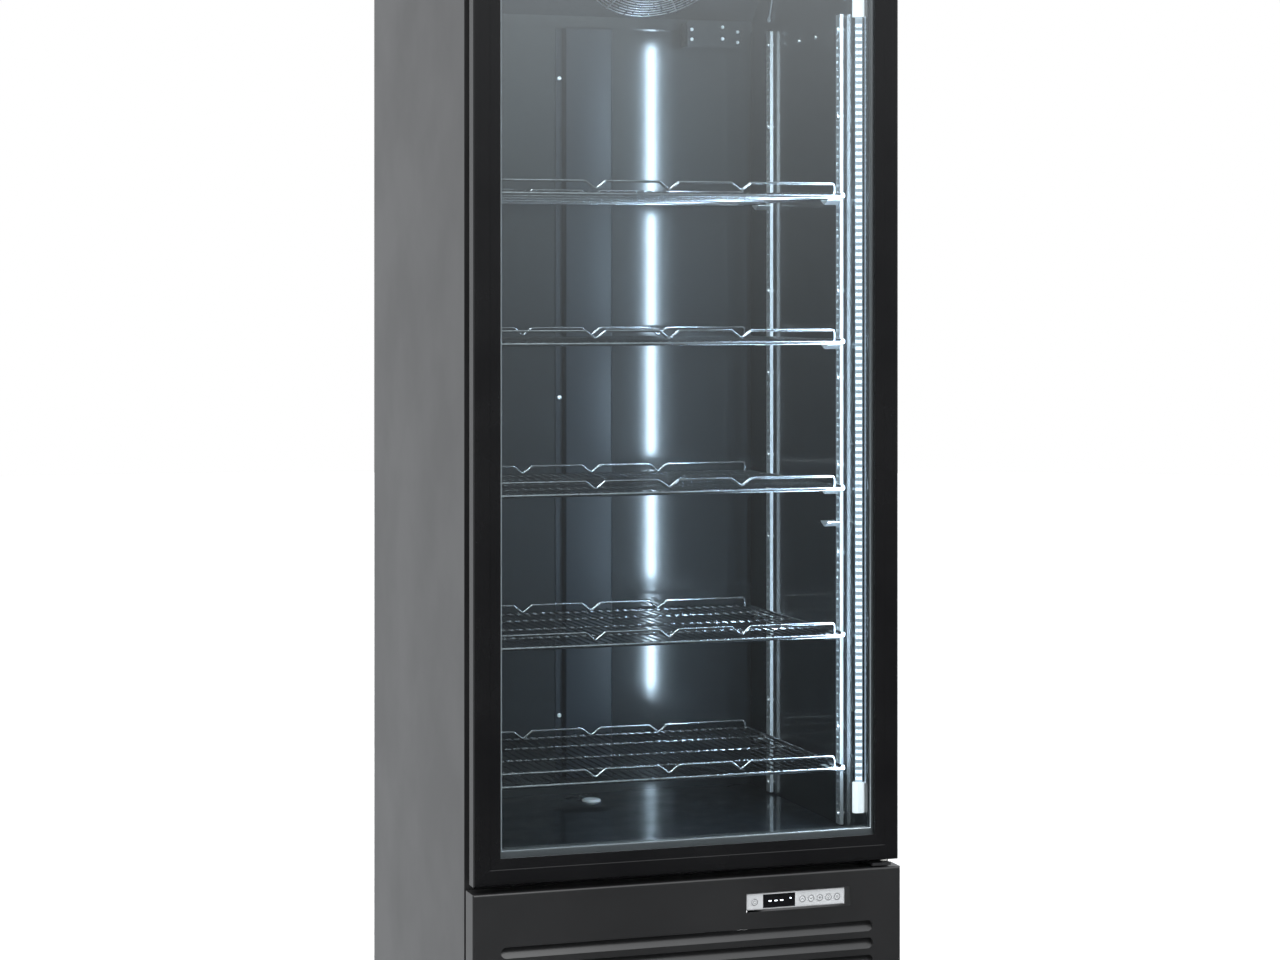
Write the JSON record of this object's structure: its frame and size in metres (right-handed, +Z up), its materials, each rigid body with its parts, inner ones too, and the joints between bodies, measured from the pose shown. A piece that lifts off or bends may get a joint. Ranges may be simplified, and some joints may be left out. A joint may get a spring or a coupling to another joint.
{
  "type": "glass door display refrigerator",
  "caption": "Upright reach in refrigerator with a full height glass door, wire shelves on slotted standards, vertical light and louvred machine base.",
  "frame": {"origin": "on the floor under the middle of the cabinet", "axes": "+Z up, the door faces -Y, +X to the hinge side"},
  "size_m": [0.65, 0.604, 1.9],
  "materials": {
    "cabinet_black": "gloss powder coat",
    "door_black": "satin powder coat on aluminium",
    "liner_black": "gloss coated sheet",
    "frame_black": "satin",
    "galvanised": "spangled zinc",
    "foam": "rigid foam",
    "glass": "clear tempered",
    "spacer_metal": "mill finish",
    "gasket_rubber": "matt",
    "bush_plastic": "moulded",
    "hinge_steel": "satin",
    "zinc": "bright zinc plate",
    "shelf_wire": "zinc plated wire with clear coat",
    "lamp_aluminium": "anodised",
    "lamp_board": "white solder mask",
    "lamp_cover": "clear ribbed",
    "white_plastic": "moulded",
    "coil_fins": "pressed fins",
    "motor_black": "semi gloss",
    "fan_plastic": "moulded",
    "box_plastic": "moulded",
    "bezel_silver": "silver paint",
    "display_black": "polished",
    "button_grey": "silver paint",
    "copper": "bright copper",
    "foot_black": "moulded"
  },
  "bodies": {
    "cabinet": {"air_duct": "liner_black", "base_tray": "galvanised", "compressor": "motor_black", "condenser_coil": "coil_fins", "condenser_fan_motor": "motor_black", "controller_case": "bezel_silver", "controller_display": "display_black", "drain_cap": "white_plastic", "electrical_box": "box_plastic", "evaporating_tray": "box_plastic", "evaporator_coil": "coil_fins", "evaporator_cover": "liner_black", "evaporator_fan_guard": "shelf_wire", "evaporator_fan_motor": "motor_black", "hinge_brackets": "hinge_steel", "insulation": "foam", "led_board": "lamp_board", "led_channel": "lamp_aluminium", "led_cover": "lamp_cover", "led_end_caps": "white_plastic", "levelling_feet": "foot_black", "liner_ceiling": "liner_black", "liner_floor": "liner_black", "liner_walls": "liner_black", "lower_panel": "cabinet_black", "opening_frame": "frame_black", "rear_panel": "galvanised", "refrigerant_pipes": "copper", "screws": "zinc", "shelf_clips": "zinc", "shelf_standard_left_front": "zinc", "shelf_standard_left_rear": "zinc", "shelf_standard_right_front": "zinc", "shelf_standard_right_rear": "zinc", "side_panel_left": "cabinet_black", "side_panel_right": "cabinet_black", "terminal_box": "box_plastic", "top_panel": "cabinet_black"},
    "door": {"door_stile_left": "door_black", "door_stile_right": "door_black", "door_rail_top": "door_black", "door_rail_bottom": "door_black", "door_glass_front": "glass", "door_glass_rear": "glass", "glass_spacer": "spacer_metal", "door_gasket": "gasket_rubber", "hinge_bushes": "bush_plastic"},
    "evaporator_fan": {"evaporator_fan_blade": "fan_plastic"},
    "condenser_fan": {"condenser_fan_blade": "fan_plastic"},
    "shelf_1": {"shelf_1": "shelf_wire"},
    "shelf_2": {"shelf_2": "shelf_wire"},
    "shelf_3": {"shelf_3": "shelf_wire"},
    "shelf_4": {"shelf_4": "shelf_wire"},
    "shelf_5": {"shelf_5": "shelf_wire"},
    "button_1": {"button_1": "button_grey"},
    "button_2": {"button_2": "button_grey"},
    "button_3": {"button_3": "button_grey"},
    "button_4": {"button_4": "button_grey"},
    "button_5": {"button_5": "button_grey"},
    "button_6": {"button_6": "button_grey"}
  },
  "joints": [
    {"name": "door_hinge", "type": "hinge", "parent": "cabinet", "child": "door", "pos_m": [0.303, -0.289, 1.1], "axis": [0, 0, 1], "range_deg": [0, 120], "stiffness_Nm_per_rad": 2, "springref_deg": -17.19},
    {"name": "evaporator_fan_spin", "type": "hinge", "parent": "cabinet", "child": "evaporator_fan", "pos_m": [0.095, 0.134, 1.67855], "axis": [0, -0.6428, -0.766], "continuous": true},
    {"name": "condenser_fan_spin", "type": "hinge", "parent": "cabinet", "child": "condenser_fan", "pos_m": [-0.126, -0.158, 0.159], "axis": [0, 1, 0], "continuous": true},
    {"name": "shelf_1_lift", "type": "slide", "parent": "cabinet", "child": "shelf_1", "axis": [0, 0, 1], "range_m": [0, 0.02]},
    {"name": "shelf_2_lift", "type": "slide", "parent": "cabinet", "child": "shelf_2", "axis": [0, 0, 1], "range_m": [0, 0.02]},
    {"name": "shelf_3_lift", "type": "slide", "parent": "cabinet", "child": "shelf_3", "axis": [0, 0, 1], "range_m": [0, 0.02]},
    {"name": "shelf_4_lift", "type": "slide", "parent": "cabinet", "child": "shelf_4", "axis": [0, 0, 1], "range_m": [0, 0.02]},
    {"name": "shelf_5_lift", "type": "slide", "parent": "cabinet", "child": "shelf_5", "axis": [0, 0, 1], "range_m": [0, 0.02]},
    {"name": "button_1_press", "type": "slide", "parent": "cabinet", "child": "button_1", "axis": [0, 1, 0], "range_m": [0, 0.0008], "stiffness_N_per_m": 600},
    {"name": "button_2_press", "type": "slide", "parent": "cabinet", "child": "button_2", "axis": [0, 1, 0], "range_m": [0, 0.0008], "stiffness_N_per_m": 600},
    {"name": "button_3_press", "type": "slide", "parent": "cabinet", "child": "button_3", "axis": [0, 1, 0], "range_m": [0, 0.0008], "stiffness_N_per_m": 600},
    {"name": "button_4_press", "type": "slide", "parent": "cabinet", "child": "button_4", "axis": [0, 1, 0], "range_m": [0, 0.0008], "stiffness_N_per_m": 600},
    {"name": "button_5_press", "type": "slide", "parent": "cabinet", "child": "button_5", "axis": [0, 1, 0], "range_m": [0, 0.0008], "stiffness_N_per_m": 600},
    {"name": "button_6_press", "type": "slide", "parent": "cabinet", "child": "button_6", "axis": [0, 1, 0], "range_m": [0, 0.0008], "stiffness_N_per_m": 600}
  ]
}
